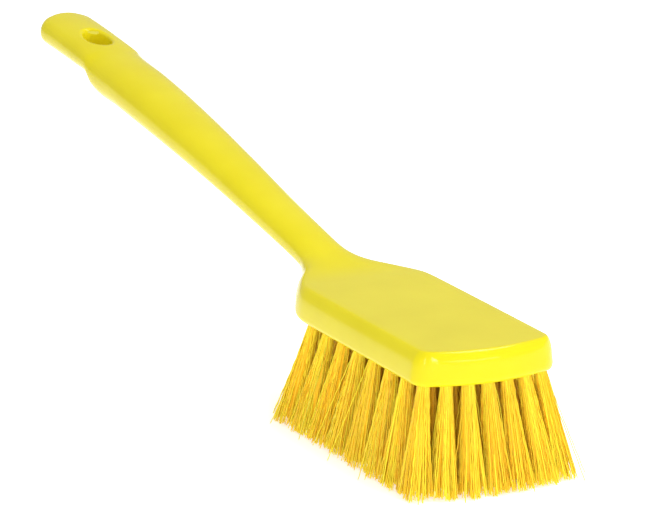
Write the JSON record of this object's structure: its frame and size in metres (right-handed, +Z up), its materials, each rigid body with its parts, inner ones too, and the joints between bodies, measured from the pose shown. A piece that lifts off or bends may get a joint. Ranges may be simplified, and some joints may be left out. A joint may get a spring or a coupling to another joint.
{
  "type": "long-handled washing brush",
  "caption": "Long-handled hand washing brush: one-piece moulded handle and head with a hanging hole, and rows of crimped filament tufts under the head.",
  "frame": {"origin": "middle of the brush's length and width, on the plane that the bristle tips rest on", "axes": "+X from the handle's end to the head's front, +Y across the head, +Z up, from the bristle tips to the head"},
  "size_m": [0.4103, 0.069, 0.0997],
  "materials": {
    "yellow_polypropylene": "satin moulded polypropylene with softly rounded edges",
    "yellow_filament": "crimped translucent polyester filament, satin"
  },
  "bodies": {
    "head_and_handle": {"handle_block": "yellow_polypropylene"},
    "bristle_row_1": {"tuft_1_1": "yellow_filament", "tuft_1_2": "yellow_filament", "tuft_1_3": "yellow_filament", "tuft_1_4": "yellow_filament", "tuft_1_5": "yellow_filament", "tuft_1_6": "yellow_filament", "tuft_1_7": "yellow_filament"},
    "bristle_row_2": {"tuft_2_1": "yellow_filament", "tuft_2_2": "yellow_filament", "tuft_2_3": "yellow_filament", "tuft_2_4": "yellow_filament", "tuft_2_5": "yellow_filament", "tuft_2_6": "yellow_filament", "tuft_2_7": "yellow_filament"},
    "bristle_row_3": {"tuft_3_1": "yellow_filament", "tuft_3_2": "yellow_filament", "tuft_3_3": "yellow_filament", "tuft_3_4": "yellow_filament", "tuft_3_5": "yellow_filament", "tuft_3_6": "yellow_filament", "tuft_3_7": "yellow_filament"},
    "bristle_row_4": {"tuft_4_1": "yellow_filament", "tuft_4_2": "yellow_filament", "tuft_4_3": "yellow_filament", "tuft_4_4": "yellow_filament", "tuft_4_5": "yellow_filament", "tuft_4_6": "yellow_filament", "tuft_4_7": "yellow_filament"},
    "bristle_row_5": {"tuft_5_1": "yellow_filament", "tuft_5_2": "yellow_filament", "tuft_5_3": "yellow_filament", "tuft_5_4": "yellow_filament", "tuft_5_5": "yellow_filament", "tuft_5_6": "yellow_filament", "tuft_5_7": "yellow_filament"},
    "bristle_row_6": {"tuft_6_1": "yellow_filament", "tuft_6_2": "yellow_filament", "tuft_6_3": "yellow_filament", "tuft_6_4": "yellow_filament", "tuft_6_5": "yellow_filament", "tuft_6_6": "yellow_filament", "tuft_6_7": "yellow_filament"},
    "bristle_row_7": {"tuft_7_1": "yellow_filament", "tuft_7_2": "yellow_filament", "tuft_7_3": "yellow_filament", "tuft_7_4": "yellow_filament", "tuft_7_5": "yellow_filament", "tuft_7_6": "yellow_filament", "tuft_7_7": "yellow_filament"},
    "bristle_row_8": {"tuft_8_1": "yellow_filament", "tuft_8_2": "yellow_filament", "tuft_8_3": "yellow_filament", "tuft_8_4": "yellow_filament", "tuft_8_5": "yellow_filament", "tuft_8_6": "yellow_filament", "tuft_8_7": "yellow_filament"}
  },
  "joints": [
    {"name": "row_1_flex", "type": "hinge", "parent": "head_and_handle", "child": "bristle_row_1", "pos_m": [0.18997, 0, 0.041], "axis": [0, 1, 0], "range_deg": [-20, 20], "stiffness_Nm_per_rad": 0.16, "deforming": ["tuft_1_1", "tuft_1_2", "tuft_1_3", "tuft_1_4", "tuft_1_5", "tuft_1_6", "tuft_1_7"]},
    {"name": "row_2_flex", "type": "hinge", "parent": "head_and_handle", "child": "bristle_row_2", "pos_m": [0.17597, 0, 0.041], "axis": [0, 1, 0], "range_deg": [-20, 20], "stiffness_Nm_per_rad": 0.16, "deforming": ["tuft_2_1", "tuft_2_2", "tuft_2_3", "tuft_2_4", "tuft_2_5", "tuft_2_6", "tuft_2_7"]},
    {"name": "row_3_flex", "type": "hinge", "parent": "head_and_handle", "child": "bristle_row_3", "pos_m": [0.16198, 0, 0.041], "axis": [0, 1, 0], "range_deg": [-20, 20], "stiffness_Nm_per_rad": 0.16, "deforming": ["tuft_3_1", "tuft_3_2", "tuft_3_3", "tuft_3_4", "tuft_3_5", "tuft_3_6", "tuft_3_7"]},
    {"name": "row_4_flex", "type": "hinge", "parent": "head_and_handle", "child": "bristle_row_4", "pos_m": [0.14798, 0, 0.041], "axis": [0, 1, 0], "range_deg": [-20, 20], "stiffness_Nm_per_rad": 0.16, "deforming": ["tuft_4_1", "tuft_4_2", "tuft_4_3", "tuft_4_4", "tuft_4_5", "tuft_4_6", "tuft_4_7"]},
    {"name": "row_5_flex", "type": "hinge", "parent": "head_and_handle", "child": "bristle_row_5", "pos_m": [0.13398, 0, 0.041], "axis": [0, 1, 0], "range_deg": [-20, 20], "stiffness_Nm_per_rad": 0.16, "deforming": ["tuft_5_1", "tuft_5_2", "tuft_5_3", "tuft_5_4", "tuft_5_5", "tuft_5_6", "tuft_5_7"]},
    {"name": "row_6_flex", "type": "hinge", "parent": "head_and_handle", "child": "bristle_row_6", "pos_m": [0.11999, 0, 0.041], "axis": [0, 1, 0], "range_deg": [-20, 20], "stiffness_Nm_per_rad": 0.16, "deforming": ["tuft_6_1", "tuft_6_2", "tuft_6_3", "tuft_6_4", "tuft_6_5", "tuft_6_6", "tuft_6_7"]},
    {"name": "row_7_flex", "type": "hinge", "parent": "head_and_handle", "child": "bristle_row_7", "pos_m": [0.10599, 0, 0.041], "axis": [0, 1, 0], "range_deg": [-20, 20], "stiffness_Nm_per_rad": 0.16, "deforming": ["tuft_7_1", "tuft_7_2", "tuft_7_3", "tuft_7_4", "tuft_7_5", "tuft_7_6", "tuft_7_7"]},
    {"name": "row_8_flex", "type": "hinge", "parent": "head_and_handle", "child": "bristle_row_8", "pos_m": [0.09199, 0, 0.041], "axis": [0, 1, 0], "range_deg": [-20, 20], "stiffness_Nm_per_rad": 0.16, "deforming": ["tuft_8_1", "tuft_8_2", "tuft_8_3", "tuft_8_4", "tuft_8_5", "tuft_8_6", "tuft_8_7"]}
  ],
  "couplings": [
    {"joint": "row_2_flex", "follows": "row_1_flex", "ratio": 1},
    {"joint": "row_3_flex", "follows": "row_1_flex", "ratio": 1},
    {"joint": "row_4_flex", "follows": "row_1_flex", "ratio": 1},
    {"joint": "row_5_flex", "follows": "row_1_flex", "ratio": 1},
    {"joint": "row_6_flex", "follows": "row_1_flex", "ratio": 1},
    {"joint": "row_7_flex", "follows": "row_1_flex", "ratio": 1},
    {"joint": "row_8_flex", "follows": "row_1_flex", "ratio": 1}
  ]
}
